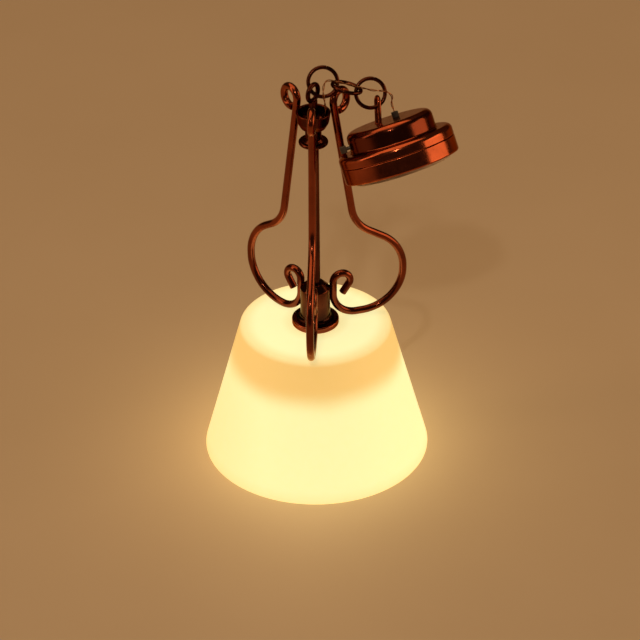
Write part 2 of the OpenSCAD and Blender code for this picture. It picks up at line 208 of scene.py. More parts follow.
def rounded(corners, steps=7):
    """A closed outline whose corners are arcs.

    Each corner is (x, y, radius). An arc is the slerp between the two spokes from its centre to the
    tangent points. A point just past each arc keeps the shading of the straight runs flat.
    Returns the points and how worn each is: 1 on an arc and 0 on a straight run.
    """
    points, worn = [], []
    count = len(corners)
    place = np.array([corner[:2] for corner in corners], float)
    for index, (_, _, radius) in enumerate(corners):
        here = place[index]
        back, ahead = place[index - 1] - here, place[(index + 1) % count] - here
        back_len, ahead_len = np.linalg.norm(back), np.linalg.norm(ahead)
        back, ahead = back / back_len, ahead / ahead_len
        half = math.acos(np.clip(back @ ahead, -1, 1)) / 2
        if radius <= 0 or half > 1.56:
            points.append(here[None])
            worn.append(np.zeros(1))
            continue
        reach = min(radius / math.tan(half), 0.45 * back_len, 0.45 * ahead_len)
        radius = reach * math.tan(half)
        centre = here + unit(back + ahead) * radius / math.sin(half)
        first, last = here + back * reach, here + ahead * reach
        sweep = math.pi - 2 * half
        t = np.linspace(0, 1, steps)[:, None]
        spoke_a, spoke_b = first - centre, last - centre
        arc = centre + (np.sin((1 - t) * sweep) * spoke_a + np.sin(t * sweep) * spoke_b) / math.sin(sweep)
        pad = min(0.06, 0.08 * min(back_len, ahead_len))
        points += [(first + back * pad)[None], arc, (last + ahead * pad)[None]]
        worn += [np.full(1, 0.2), np.ones(steps), np.full(1, 0.2)]
    return np.concatenate(points), np.concatenate(worn)


def grid_faces(rows, columns, close_rows):
    """Quads of a grid whose columns wrap round, and whose rows wrap round too if close_rows."""
    i = np.arange(rows if close_rows else rows - 1)[:, None]
    k = np.arange(columns)[None, :]
    ahead, beside = (i + 1) % rows, (k + 1) % columns
    quads = np.stack(np.broadcast_arrays(
        i * columns + k, i * columns + beside, ahead * columns + beside, ahead * columns + k), axis=-1)
    return quads.reshape(-1, 4)


def lathe(outline, sides=144):
    """A profile turned once about Z: (r cos a, r sin a, z).

    A shape is its points, a list of arrays of faces, and how worn each point is.
    """
    profile, worn = outline
    angle = np.linspace(0, 2 * np.pi, sides, endpoint=False)
    radius, height = profile[:, 0:1], profile[:, 1:2]
    points = np.stack(np.broadcast_arrays(
        radius * np.cos(angle), radius * np.sin(angle), height + 0 * angle), axis=-1)
    return points.reshape(-1, 3), [grid_faces(len(profile), sides, True)], np.repeat(worn, sides)


def lathe_solid(outline, sides=144):
    """A profile from the axis to the axis turned about Z, with one point where it meets the axis.

    The first and last profile points have radius 0 and become the two poles.
    """
    profile, worn = outline
    points, _, wear_and_shade = lathe((profile[1:-1], worn[1:-1]), sides)
    rows = len(profile) - 2
    faces = grid_faces(rows, sides, False)
    poles = np.array([[0, 0, profile[0, 1]], [0, 0, profile[-1, 1]]])
    low, high = rows * sides, rows * sides + 1
    k = np.arange(sides)
    beside = (k + 1) % sides
    last = (rows - 1) * sides
    fan_low = np.stack([np.full(sides, low), beside, k], axis=-1)
    fan_high = np.stack([np.full(sides, high), last + k, last + beside], axis=-1)
    return np.concatenate([points, poles]), [faces, fan_low, fan_high], np.concatenate([wear_and_shade, [0, 0]])


def smooth_curve(route, start, stop, per_step):
    """Points of the smooth curve through the route's points, from point number start to stop.

    Between points b and c, with neighbours a and d, the curve is the cubic whose slope at b is half of
    c - a and at c half of d - b.
    """
    s = np.linspace(start, stop, int((stop - start) * per_step) + 1)
    last = len(route) - 1
    i = np.minimum(np.floor(s).astype(int), last - 1)
    t = (s - i)[:, None]
    a, b = route[np.maximum(i - 1, 0)], route[i]
    c, d = route[i + 1], route[np.minimum(i + 2, last)]
    return 0.5 * (2 * b + (c - a) * t + (2 * a - 5 * b + 4 * c - d) * t**2 + (3 * b - a - 3 * c + d) * t**3)


def directions(path, closed=False):
    """Unit tangents of a path, from the neighbours on both sides of each point."""
    if closed:
        return unit(np.roll(path, -1, axis=0) - np.roll(path, 1, axis=0))
    return unit(np.gradient(path, axis=0))


def tube(path, radius, side_axis, sides=24, closed=False):
    """A round tube round a path: point + r (cos a across + sin a up).

    across is square to the path and to side_axis, and up is square to both. radius is one number or one
    for each point. An open tube is closed at each end by a small chamfer and a fan of triangles.
    """
    along = directions(path, closed)
    across = unit(np.cross(side_axis, along))
    up = np.cross(along, across)
    size = np.broadcast_to(np.asarray(radius, float), (len(path),)).copy()
    if not closed:
        chamfer = 0.12 * size[0]
        path = np.concatenate([path[:1], path[:1] + along[:1] * chamfer, path[1:-1],
                               path[-1:] - along[-1:] * chamfer, path[-1:]])
        size = np.concatenate([size[:1] * 0.86, size[:1], size[1:-1], size[-1:], size[-1:] * 0.86])
        across = np.concatenate([across[:1], across, across[-1:]])
        up = np.concatenate([up[:1], up, up[-1:]])
    angle = np.linspace(0, 2 * np.pi, sides, endpoint=False)[None, :, None]
    ring = np.cos(angle) * across[:, None] + np.sin(angle) * up[:, None]
    points = (path[:, None] + size[:, None, None] * ring).reshape(-1, 3)
    faces = grid_faces(len(path), sides, closed)
    wear_and_shade = np.zeros(len(points))
    if closed:
        return points, [faces], wear_and_shade
    k = np.arange(sides)
    beside = (k + 1) % sides
    first, last = len(points), len(points) + 1
    end_row = (len(path) - 1) * sides
    fan_first = np.stack([np.full(sides, first), beside, k], axis=-1)
    fan_last = np.stack([np.full(sides, last), end_row + k, end_row + beside], axis=-1)
    points = np.concatenate([points, path[:1], path[-1:]])
    return points, [faces, fan_first, fan_last], np.concatenate([wear_and_shade, [0.6, 0.6]])


def circle_path(centre, normal, start, radius, sweep, count):
    """Points on a circle: centre + r (cos a start + sin a side), with side square to normal and start."""
    start = unit(start - normal * (start @ normal))
    side = np.cross(normal, start)
    angle = np.radians(np.linspace(0, sweep, count))[:, None]
    return centre + radius * (np.cos(angle) * start + np.sin(angle) * side)


def bent_path(steps, start, heading, spacing=0.12):
    """Points of a flat wire that follows straight runs and bends, as (distance, height) pairs.

    A straight run adds its length along the heading. A bend turns about a centre that stands its radius
    to the left of the heading, or to the right when the turn is negative.
    """
    at = np.array(start, float)
    angle = math.radians(heading)
    pieces = [at[None]]
    for size, turn in steps:
        ahead = np.array([math.cos(angle), math.sin(angle)])
        if turn == 0:
            count = max(2, int(size / spacing / 3))
            run = at + ahead * np.linspace(0, size, count + 1)[1:, None]
        else:
            side = math.copysign(1, turn)
            spoke = side * size * np.array([math.sin(angle), -math.cos(angle)])
            centre = at - spoke
            count = max(6, int(abs(math.radians(turn)) * size / spacing))
            bend = np.radians(np.linspace(0, turn, count + 1)[1:])[:, None]
            run = centre + np.cos(bend) * spoke + np.sin(bend) * np.array([-spoke[1], spoke[0]])
            angle += math.radians(turn)
        pieces.append(run)
        at = run[-1]
    return np.concatenate(pieces)


def in_canopy(points):
    """Points of the canopy's own frame, in the lamp's frame."""
    return np.asarray(points, float) @ CANOPY_TURN.T + CANOPY_AT


def shifted(shape, offset):
    """The shape moved by an offset."""
    points, faces, wear_and_shade = shape
    return points + np.asarray(offset, float), faces, wear_and_shade


def canopied(shape):
    """The shape moved from the canopy's own frame to the lamp's."""
    points, faces, wear_and_shade = shape
    return in_canopy(points), faces, wear_and_shade


def joined(shapes):
    """Several closed shapes as one mesh."""
    points, faces, wear_and_shade, count = [], [], [], 0
    for shape_points, shape_faces, shape_wear in shapes:
        faces += [group + count for group in shape_faces]
        points.append(shape_points)
        wear_and_shade.append(shape_wear)
        count += len(shape_points)
    return np.concatenate(points), faces, np.concatenate(wear_and_shade)


def slab(corners, half):
    """A rounded outline swept along Z from -half to half, with its two flat ends drawn in a little."""
    outline, _ = rounded(corners, 4)
    centre = outline.mean(axis=0)
    heights = np.array([-half, 0.05 - half, half - 0.05, half])
    scales = np.array([0.9, 1.0, 1.0, 0.9])
    rows = centre + scales[:, None, None] * (outline - centre)
    points = np.concatenate([rows, np.broadcast_to(heights[:, None, None], rows.shape[:2] + (1,))], axis=-1)
    count = len(outline)
    ends = [np.arange(count)[None, ::-1], np.arange(count)[None, :] + 3 * count]
    return points.reshape(-1, 3), [grid_faces(4, count, False)] + ends, np.zeros(4 * count)


def solid(name, shape, finish, sharp=42):
    """A mesh object at the origin from points in millimetres, smooth apart from edges over sharp degrees."""
    points, faces, wear_and_shade = shape
    mesh = bpy.data.meshes.new(name)
    mesh.from_pydata((points * MM).tolist(), [], [face for group in faces for face in group.tolist()])
    # one value per point: real wear on rounded edges, and painted shade where it is below 0
    mesh.attributes.new("wear_and_shade", "FLOAT", "POINT").data.foreach_set("value", wear_and_shade.astype(np.float32))
    mesh.shade_smooth()
    mesh.set_sharp_from_angle(angle=math.radians(sharp))
    mesh.materials.append(finish)
    piece = bpy.data.objects.new(name, mesh)
    bpy.context.scene.collection.objects.link(piece)
    return piece


def cut(piece, cutters):
    """Takes the cutters' solids out of a piece, and removes them."""
    for cutter in cutters:
        difference = piece.modifiers.new("cut", "BOOLEAN")
        difference.operation = "DIFFERENCE"
        difference.solver = "EXACT"
        difference.object = cutter
        bpy.context.view_layer.objects.active = piece
        bpy.ops.object.modifier_apply(modifier=difference.name)
        bpy.data.objects.remove(cutter)
    piece.data.shade_smooth()
    piece.data.set_sharp_from_angle(angle=math.radians(42))


def block(low, high):
    """A plain box between two corners, used to cut a slot."""
    low, high = np.array(low, float), np.array(high, float)
    pick = np.array([[x, y, z] for x in (0, 1) for y in (0, 1) for z in (0, 1)])
    points = np.where(pick == 1, high, low)
    faces = np.array([[0, 1, 3, 2], [4, 6, 7, 5], [0, 4, 5, 1], [2, 3, 7, 6], [0, 2, 6, 4], [1, 5, 7, 3]])
    return points, [faces], np.zeros(8)


def stand_in(piece, body, slot, *nodes):
    """The piece rides on a body, and stands for CAD nodes if any are named."""
    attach(piece, body)
    if nodes:
        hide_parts(*nodes)
    return piece


def ring(hole, outer, low_z, high_z, hole_edge=0.03, low_edge=0.05, high_edge=0.05):
    """The corners of a plain ring: its hole, its outer radius, its two heights and its edges' radii."""
    return [(hole, low_z, hole_edge), (outer, low_z, low_edge), (outer, high_z, high_edge),
            (hole, high_z, hole_edge)]


def turned(name, corners, finish, slot, node, sides=144, sharp=42, steps=7):
    """A part of the lamp that is a rounded profile turned about Z."""
    return stand_in(solid(name, lathe(rounded(corners, steps), sides), finish, sharp), "lamp", slot, node)


# ---- finishes ----


def new_finish(name):
    """An empty material and its shader node."""
    finish = bpy.data.materials.new(name)
    finish.use_nodes = True
    return finish, finish.node_tree, finish.node_tree.nodes["Principled BSDF"]


def add_node(tree, kind, settings=None, inputs=None, **links):
    """A node with its settings, its plain input values and the outputs that feed it."""
    node = tree.nodes.new(kind)
    for key, value in (settings or {}).items():
        setattr(node, key, value)
    for key, value in (inputs or {}).items():
        node.inputs[key].default_value = value
    for key, output in links.items():
        tree.links.new(output, node.inputs[key.replace("_", " ")])
    return node


def rgba(colour):
    """A colour with full alpha."""
    return (colour[0], colour[1], colour[2], 1.0)


def place(tree, scale=(1, 1, 1)):
    """Object coordinates, stretched by scale."""
    coordinates = add_node(tree, "ShaderNodeTexCoord")
    mapping = add_node(tree, "ShaderNodeMapping", inputs={"Scale": scale})
    tree.links.new(coordinates.outputs["Object"], mapping.inputs["Vector"])
    return mapping.outputs["Vector"]


def noise(tree, vector, scale, detail=3.0, roughness=0.55):
    """Fractal noise at a scale in cells for each metre."""
    made = add_node(tree, "ShaderNodeTexNoise", inputs={
        "Scale": scale, "Detail": detail, "Roughness": roughness})
    tree.links.new(vector, made.inputs["Vector"])
    return made.outputs["Fac"]


def spread(tree, value, low, high, to_low=0.0, to_high=1.0, ease="LINEAR"):
    """Maps a value from one range to another, held at both ends."""
    made = add_node(tree, "ShaderNodeMapRange", {"clamp": True, "interpolation_type": ease}, {
        "From Min": low, "From Max": high, "To Min": to_low, "To Max": to_high})
    tree.links.new(value, made.inputs["Value"])
    return made.outputs["Result"]


def mixed(tree, factor, colour_a, colour_b):
    """A mix of two colours, each a plain colour or an output."""
    made = add_node(tree, "ShaderNodeMix", {"data_type": "RGBA"})
    tree.links.new(factor, made.inputs[0])
    for socket, colour in ((made.inputs[6], colour_a), (made.inputs[7], colour_b)):
        if isinstance(colour, bpy.types.NodeSocket):
            tree.links.new(colour, socket)
        else:
            socket.default_value = rgba(colour)
    return made.outputs[2]


def maths(tree, operation, a, b):
    """A sum, product or the like of two values."""
    made = add_node(tree, "ShaderNodeMath", {"operation": operation, "use_clamp": True})
    for socket, value in zip(made.inputs, (a, b)):
        if isinstance(value, bpy.types.NodeSocket):
            tree.links.new(value, socket)
        else:
            socket.default_value = value
    return made.outputs[0]


def bumped(tree, shader, height, distance, strength=1.0):
    """Drives the shader's normal from a height, distance in metres."""
    bump = add_node(tree, "ShaderNodeBump", inputs={"Strength": strength, "Distance": distance})
    tree.links.new(height, bump.inputs["Height"])
    tree.links.new(bump.outputs["Normal"], shader.inputs["Normal"])


def plated(name, bright, dark, gloss=(0.13, 0.24), worn=0.6, grazing=(0.62, 0.42, 0.30)):
    """Antique plating: dark patina with soft brighter clouds, rubbed bright along its edges.

    Below 36 mm, towards the shade, the plating is painted darker as painted shade, and it is painted darker where
    the wear-and-shade value is below 0, as painted shade on the canopy's narrow tier.
    grazing is the tint that keeps the metal brown where it is seen edge on.
    """
    finish, tree, shader = new_finish(name)
    at = place(tree)
    clouds = spread(tree, noise(tree, at, 210, 2.0), 0.35, 0.7, 0.3, 0.75)
    specks = spread(tree, noise(tree, at, 3600, 2.0), 0.64, 0.74, 0.0, 0.35)
    wear_and_shade = add_node(tree, "ShaderNodeAttribute", {"attribute_name": "wear_and_shade"}).outputs["Fac"]
    rubbed = maths(tree, "MULTIPLY", wear_and_shade, spread(tree, noise(tree, at, 900, 2.0), 0.35, 0.6, 0.2, worn))
    amount = maths(tree, "SUBTRACT", maths(tree, "ADD", clouds, rubbed), specks)
    # painted shade: where the wear-and-shade value is below 0, as on the canopy's narrow tier, the plating is
    # darkened
    amount = maths(tree, "SUBTRACT", amount, spread(tree, wear_and_shade, -1.0, 0.0, 0.9, 0.0))
    height = add_node(tree, "ShaderNodeSeparateXYZ", Vector=at).outputs["Z"]
    # painted shade: the plating is darkened below 36 mm, towards the shade
    amount = maths(tree, "SUBTRACT", amount, spread(tree, height, 0.020, 0.036, 0.4, 0.0))
    tree.links.new(mixed(tree, amount, dark, bright), shader.inputs["Base Color"])
    shader.inputs["Metallic"].default_value = 1.0
    shader.inputs["Specular Tint"].default_value = rgba(grazing)
    rough = spread(tree, noise(tree, at, 1600, 2.0), 0.3, 0.75, gloss[0], gloss[1])
    tree.links.new(rough, shader.inputs["Roughness"])
    bumped(tree, shader, noise(tree, at, 2400, 3.0), 0.000008, 0.25)
    return finish


def moulded(name, colour, shadow, roughness=0.45, grain=4200, specular=0.5):
    """Moulded plastic or rubber: a fine grain and a slight unevenness of colour."""
    finish, tree, shader = new_finish(name)
    at = place(tree)
    clouds = spread(tree, noise(tree, at, 700), 0.35, 0.7)
    tree.links.new(mixed(tree, clouds, colour, shadow), shader.inputs["Base Color"])
    rough = spread(tree, noise(tree, at, grain, 2.0), 0.3, 0.7, roughness - 0.07, roughness + 0.1)
    tree.links.new(rough, shader.inputs["Roughness"])
    shader.inputs["Specular IOR Level"].default_value = specular
    bumped(tree, shader, noise(tree, at, grain, 3.0), 0.000012, 0.4)
    return finish


def metal(name, colour, tarnish, gloss=(0.22, 0.42), grain=(1, 1, 14)):
    """Plain rolled or turned metal with a faint grain and some tarnish."""
    finish, tree, shader = new_finish(name)
    at = place(tree)
    clouds = spread(tree, noise(tree, at, 900), 0.4, 0.75)
    tree.links.new(mixed(tree, clouds, colour, tarnish), shader.inputs["Base Color"])
    shader.inputs["Metallic"].default_value = 1.0
    lines = noise(tree, place(tree, grain), 2600, 2.0)
    tree.links.new(spread(tree, lines, 0.3, 0.7, gloss[0], gloss[1]), shader.inputs["Roughness"])
    bumped(tree, shader, lines, 0.000006, 0.4)
    return finish


def lit_shade(sizes, colours):
    """Frosted plastic that the lamp shines through.

    The light depends on height and on distance from the axis: full below the lamp, dimmer and more
    orange in the band above it, and full again on the flat top, where it falls off towards the flange
    and the edge.
    """
    finish, tree, shader = new_finish("frosted_shade")
    at = place(tree)
    parts = add_node(tree, "ShaderNodeSeparateXYZ", Vector=at).outputs
    across = add_node(tree, "ShaderNodeCombineXYZ", X=parts["X"], Y=parts["Y"]).outputs["Vector"]
    radius = add_node(tree, "ShaderNodeVectorMath", {"operation": "LENGTH"}, Vector=across).outputs["Value"]
    height, shade_h = parts["Z"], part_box("shade")[1].z
    drift = spread(tree, noise(tree, at, 120, 1.0), 0.3, 0.7, -0.00025, 0.00025)
    band_low, band_high = sizes.band_low, sizes.band_low + sizes.band_soft
    in_band = spread(tree, maths(tree, "ADD", height, drift), band_low, band_high, ease="SMOOTHERSTEP")
    rim_warm = spread(tree, height, 0.0, 0.0016, 0.35, 0.0)
    left_warm = spread(tree, parts["X"], -0.0160, -0.0070, 0.42, 0.0)
    side = mixed(tree, in_band, colours.glow, colours.glow_band)
    for warmth in (rim_warm, left_warm):
        side = mixed(tree, warmth, side, colours.glow_band)
    edge_fall = spread(tree, radius, 0.0076, 0.0100, 0.0, 0.55, "SMOOTHSTEP")
    flange_fall = spread(tree, radius, 0.0029, 0.0047, 0.35, 0.0)
    top = mixed(tree, maths(tree, "ADD", edge_fall, flange_fall), colours.glow_top, colours.glow_band)
    edge = spread(tree, height, shade_h - sizes.shade_edge * 0.9, shade_h - 0.00002)
    light = mixed(tree, edge, side, top)
    tree.links.new(light, shader.inputs["Emission Color"])
    shader.inputs["Emission Strength"].default_value = 0.8
    tone = spread(tree, noise(tree, at, 900, 2.0), 0.3, 0.7)
    warm = tuple(channel * 0.94 for channel in colours.shade)
    tree.links.new(mixed(tree, tone, colours.shade, warm), shader.inputs["Base Color"])
    rough = spread(tree, noise(tree, at, 3000, 2.0), 0.3, 0.7, 0.42, 0.5)
    tree.links.new(rough, shader.inputs["Roughness"])
    shader.inputs["Specular IOR Level"].default_value = 0.35
    bumped(tree, shader, noise(tree, at, 5200, 2.0), 0.000008, 0.25)
    return finish


def lit_lamp():
    """Warm cast epoxy with light inside."""
    finish, tree, shader = new_finish("lamp_epoxy")
    at = place(tree)
    core = spread(tree, noise(tree, at, 800), 0.3, 0.7)
    glow = mixed(tree, core, (1.0, 0.86, 0.45), (1.0, 0.78, 0.34))
    tree.links.new(glow, shader.inputs["Emission Color"])
    shader.inputs["Emission Strength"].default_value = 3.0
    tree.links.new(glow, shader.inputs["Base Color"])
    shader.inputs["Roughness"].default_value = 0.12
    return finish


FINISHES = {}


def finishes():
    """The lamp's finishes, made once."""
    if FINISHES:
        return FINISHES
    colours = bpy.context.scene.lamp_finishes
    sizes = bpy.context.scene.lamp_sizes
    FINISHES.update({
        "shade": lit_shade(sizes, colours),
        "copper": plated("antique_copper", colours.copper, colours.patina),
        "dark_copper": plated("dark_copper", colours.patina, colours.patina_dark, (0.16, 0.3)),
        "arm_copper": plated("arm_copper", colours.copper, colours.patina, grazing=(0.95, 0.84, 0.68)),
        # a darker copy of the copper for the hub and the stem tube: painted shade
        "copper_painted_shade": plated("copper_painted_shade", (0.20, 0.048, 0.022), colours.patina_dark, (0.12, 0.22),
                              grazing=(0.90, 0.78, 0.60)),
        "wire": plated("enamelled_wire", (0.52, 0.24, 0.11), (0.26, 0.11, 0.05), (0.25, 0.4)),
        "brass": metal("raw_brass", (0.80, 0.58, 0.26), (0.52, 0.34, 0.14)),
        "steel": metal("nickel_steel", (0.72, 0.71, 0.69), (0.48, 0.47, 0.46), (0.18, 0.34)),
        "white": moulded("white_plastic", (0.84, 0.82, 0.76), (0.74, 0.71, 0.63)),
        "lamp": lit_lamp(),
        "rubber": moulded("black_rubber", (0.022, 0.021, 0.02), (0.045, 0.042, 0.04), 0.6),
        "board": moulded("board", (0.03, 0.13, 0.06), (0.05, 0.18, 0.08), 0.4, 2200),
        "switch_black": moulded("switch_black", (0.02, 0.02, 0.02), (0.035, 0.033, 0.03), 0.5),
        "switch_pale": moulded("switch_pale", (0.10, 0.075, 0.055), (0.05, 0.04, 0.03), 0.4),
        "pad": moulded("adhesive_pad", (0.66, 0.55, 0.42), (0.52, 0.42, 0.31), 0.75, 3200),
    })
    return FINISHES


# ---- pieces ----


class LAMP_OT_shade(bpy.types.Operator):
    """Builds the frosted shade as a thin turned shell"""

    bl_idname = "lamp.shade"
    bl_label = "Shade"

    def execute(self, context):
        sizes = context.scene.lamp_sizes
        _, high = low_high("shade")
        rim_r, height = high[0], high[2]
        wall, edge = sizes.shade_wall / MM, sizes.shade_edge / MM
        slope = math.atan((rim_r - SHADE_TOP_R) / height)
        across = wall / math.cos(slope)
        inside_z = height - wall
        inside_top_r = rim_r - across - inside_z * math.tan(slope)
        outline = rounded([
            (rim_r - across, 0, 0.1), (rim_r, 0, 0.12), (SHADE_TOP_R, height, edge),
            (STEM_HOLE_R, height, 0.05), (STEM_HOLE_R, inside_z, 0.05), (inside_top_r, inside_z, 0.5),
        ], 12)
        piece = solid("shade_shell", lathe(outline, 256), finishes()["shade"], 60)
        piece.visible_shadow = False
        stand_in(piece, "lamp", "frosted_plastic", "shade")
        return {"FINISHED"}


class LAMP_OT_turned(bpy.types.Operator):
    """Builds the flange, hub, tube, collar, cup and eye, which are turned parts on the stem"""

    bl_idname = "lamp.turned"
    bl_label = "Stem, hub and cup"

    def flange(self, metal_finish):
        """A flat disc with rounded edges."""
        low, high = low_high("shade_flange")
        corners = ring(STEM_HOLE_R, high[0], low[2], high[2], 0.03, 0.12, 0.18)
        turned("flange_disc", corners, metal_finish, "antique_copper", "shade_flange")

    def hub(self, metal_finish):
        """A flared foot, a straight waist and a sloped shoulder."""
        low, high = low_high("arm_hub")
        foot_r = high[0]
        foot_angle = np.linspace(0, np.pi / 2, 9)
        flare_x = foot_r - 0.53 * np.sin(foot_angle)
        flare_z = low[2] + 0.12 + 0.45 * (1 - np.cos(foot_angle))
        corners = [(STEM_HOLE_R, low[2], 0.03), (foot_r, low[2], 0.05)]
        corners += [(x, z, 0) for x, z in zip(flare_x, flare_z)]
        corners += [(HUB_R, high[2] - 0.82, 0.14), (1.12, high[2], 0.12), (STEM_HOLE_R, high[2], 0.03)]
        turned("hub_turned", corners, metal_finish, "antique_copper", "arm_hub", sharp=50)

    def tube(self, metal_finish):
        """A plain tube with broken edges."""
        low, high = low_high("stem_tube")
        corners = ring(STEM_BORE / 2, STEM_D / 2, low[2], high[2], 0.04)
        turned("stem_pipe", corners, metal_finish, "antique_copper", "stem_tube", sides=64)

    def collar(self, metal_finish):
        """A thin dish with a full round rim and a short sleeve on top."""
        low, high = low_high("stem_collar")
        radius, waist = high[0], low[2] + 0.5
        corners = [
            (STEM_HOLE_R, low[2], 0.03), (radius * 0.55, low[2] + 0.02, 0.2), (radius, low[2] + 0.02, 0.24),
            (radius, waist, 0.24), (1.32, waist, 0.12), (1.06, high[2], 0.06), (STEM_HOLE_R, high[2], 0.03)]
        turned("collar_dish", corners, metal_finish, "dark_copper", "stem_collar", sharp=50, steps=10)

    def cup(self, metal_finish):
        """A bell: a neck, a wall that flares outwards and a rolled rim, with a hollow of the same form."""
        low, high = low_high("bell_cup")
        neck_r, rim_r, wall, bore_r = 1.05, high[0], 0.3, 0.6
        neck_top, stem_top = low[2] + 1.2, 47.0
        corners = [
            (STEM_HOLE_R, low[2], 0.03), (neck_r, low[2], 0.06), (neck_r, neck_top, 0.15),
            (0.72 * rim_r, neck_top + 0.4, 0.5), (0.9 * rim_r, neck_top + 1.15, 0.9), (rim_r, high[2], 0.12),
            (rim_r - wall, high[2], 0.12), (0.9 * rim_r - wall, neck_top + 1.2, 0.7),
            (0.72 * rim_r - 0.4, neck_top + 0.5, 0.3), (bore_r, neck_top + 0.5, 0.02),
            (bore_r, stem_top, 0), (STEM_HOLE_R, stem_top - 0.02, 0)]
        turned("cup_bell", corners, metal_finish, "dark_copper", "bell_cup", sharp=50, steps=9)

    def eye(self, metal_finish):
        """A shank with the lead's passage in its side, and a ring of wire on top."""
        low, _ = low_high("eye_post")
        eye_z = joint_place("ring_1_swing")[2]
        shank_top = eye_z - EYE_R + 0.05
        outline = rounded([
            (0.3, low[2], 0.03), (0.575, low[2], 0.05), (0.575, shank_top, 0.1), (0.3, shank_top, 0.05)])
        shank = solid("eye_shank", lathe(outline, 48), metal_finish)
        turn = math.radians(EYE_AZIMUTH)
        normal = np.array([math.cos(turn), math.sin(turn), 0])
        loop = circle_path(np.array([0, 0, eye_z]), normal, -AXIS_UP, EYE_R, 360, 97)[:-1]
        ring = solid("eye_ring", tube(loop, EYE_WIRE / 2, normal, 28, True), metal_finish)
        lead_out = solid("passage", tube(smooth_curve(LEAD_ROUTE, 2, 4, 8), 0.3, AXIS_Y, 24),
                         metal_finish)
        cut(shank, [lead_out])
        stand_in(shank, "lamp", "dark_copper", "eye_post")
        stand_in(ring, "lamp", "dark_copper", "eye_post")

    def execute(self, context):
        made = finishes()
        self.flange(made["copper"])
        # the hub and the tube take the copper painted darker, as painted shade
        self.hub(made["copper_painted_shade"])
        self.tube(made["copper_painted_shade"])
        self.collar(made["dark_copper"])
        self.cup(made["dark_copper"])
        self.eye(made["dark_copper"])
        return {"FINISHED"}


class LAMP_OT_arms(bpy.types.Operator):
    """Builds the three arms, each a bent wire with a top loop, a bulge and a scroll"""

    bl_idname = "lamp.arms"
    bl_label = "Arms"

    def path(self, azimuth, reach, twist):
        """The loop, drawn backwards, and then the stem, S bend, bulge, rise and scroll, as 3D points.

        out points away from the axis. A flat point (r, z) becomes r out + z up. The loop's plane holds
        the stem's direction, and its other direction is turned about the stem by the twist.
        """
        lean, slope = math.radians(ARM_LEAN), math.radians(ARM_S_TURN - 90 + ARM_LEAN)
        slope_l = reach / (math.cos(slope) + math.sin(slope) * math.tan(lean))
        steps = [
            (ARM_STEM_L + slope_l * math.sin(slope) / math.cos(lean), 0),
            (5, ARM_S_TURN), (1.12 + slope_l, 0), (6, -ARM_S_TURN - ARM_LEAN),
            (0.3, 0), (5.6, -90), (reach, 0), (3.15, -90),
            (1.9, 0), (1.15, -180), (1, -34), (1.6, 0),
        ]
        flat = bent_path([step for step in steps if step[0] > 0], ARM_TOP, ARM_LEAN - 90)
        turn, bent = math.radians(azimuth), math.radians(twist)
        out = np.array([math.cos(turn), math.sin(turn), 0])
        normal = np.cross(out, AXIS_UP)
        stem_up = math.cos(lean) * AXIS_UP - math.sin(lean) * out
        inwards = -math.sin(lean) * AXIS_UP - math.cos(lean) * out
        aside = math.cos(bent) * inwards + math.sin(bent) * normal
        loop = bent_path([ARM_LOOP], (0, 0), 0)[:0:-1]
        top = ARM_TOP[0] * out + ARM_TOP[1] * AXIS_UP
        loop = top + loop[:, 0:1] * stem_up + loop[:, 1:2] * aside
        return np.concatenate([loop, flat[:, 0:1] * out + flat[:, 1:2] * AXIS_UP]), normal

    def execute(self, context):
        for name, shape in ARMS.items():
            path, normal = self.path(*shape)
            piece = solid(name + "_wire", tube(path, ARM_WIRE / 2, normal, 28), finishes()["arm_copper"])
            stand_in(piece, "lamp", "antique_copper", name)
        return {"FINISHED"}


class LAMP_OT_chain(bpy.types.Operator):
    """Builds the three rings, each with the fine seam where its wire is closed, and the hanging loop"""

    bl_idname = "lamp.chain"
    bl_label = "Chain"

    def execute(self, context):
        dark, copper = finishes()["dark_copper"], finishes()["copper"]
        outer_normal = joint_axis("ring_1_swing")
        middle_normal = unit(np.cross(joint_axis("ring_2_swing"), CHAIN_ALONG))
        for number, normal in ((1, outer_normal), (2, middle_normal), (3, outer_normal)):
            centre = RING_2_AT + (number - 2) * RING_PITCH * CHAIN_ALONG
            seam = np.cross(normal, CHAIN_ALONG)
            path = circle_path(centre, normal, seam, RING_R, 359.2, 120)
            piece = solid(f"ring_{number}_wire", tube(path, RING_WIRE / 2, normal, 24), dark)
            stand_in(piece, f"ring_{number}", "dark_copper", f"ring_{number}")
        foot, top = joint_place("canopy_swing"), joint_place("loop_swing")
        rise, sideways = unit(top - foot), joint_axis("loop_swing")
        normal = np.cross(sideways, rise)
        bend_at = top - rise * LOOP_HALF_W
        legs = [foot - rise * 0.2 + side * sideways * LOOP_HALF_W for side in (-1, 1)]
        up = np.linspace(0, 1, 12)[:, None]
        half = sideways * LOOP_HALF_W
        left = legs[0] + (bend_at - half - legs[0]) * up
        right = bend_at + half + (legs[1] - bend_at - half) * up
        bend = circle_path(bend_at, normal, -sideways, LOOP_HALF_W, 180, 25)
        if (bend[12] - bend_at) @ rise < 0:
            bend = circle_path(bend_at, -normal, -sideways, LOOP_HALF_W, 180, 25)
        path = np.concatenate([left[:-1], bend, right[1:]])
        piece = solid("stirrup_wire", tube(path, LOOP_WIRE / 2, normal, 24), copper)
        stand_in(piece, "hanging_loop", "antique_copper", "hanging_loop")
        return {"FINISHED"}


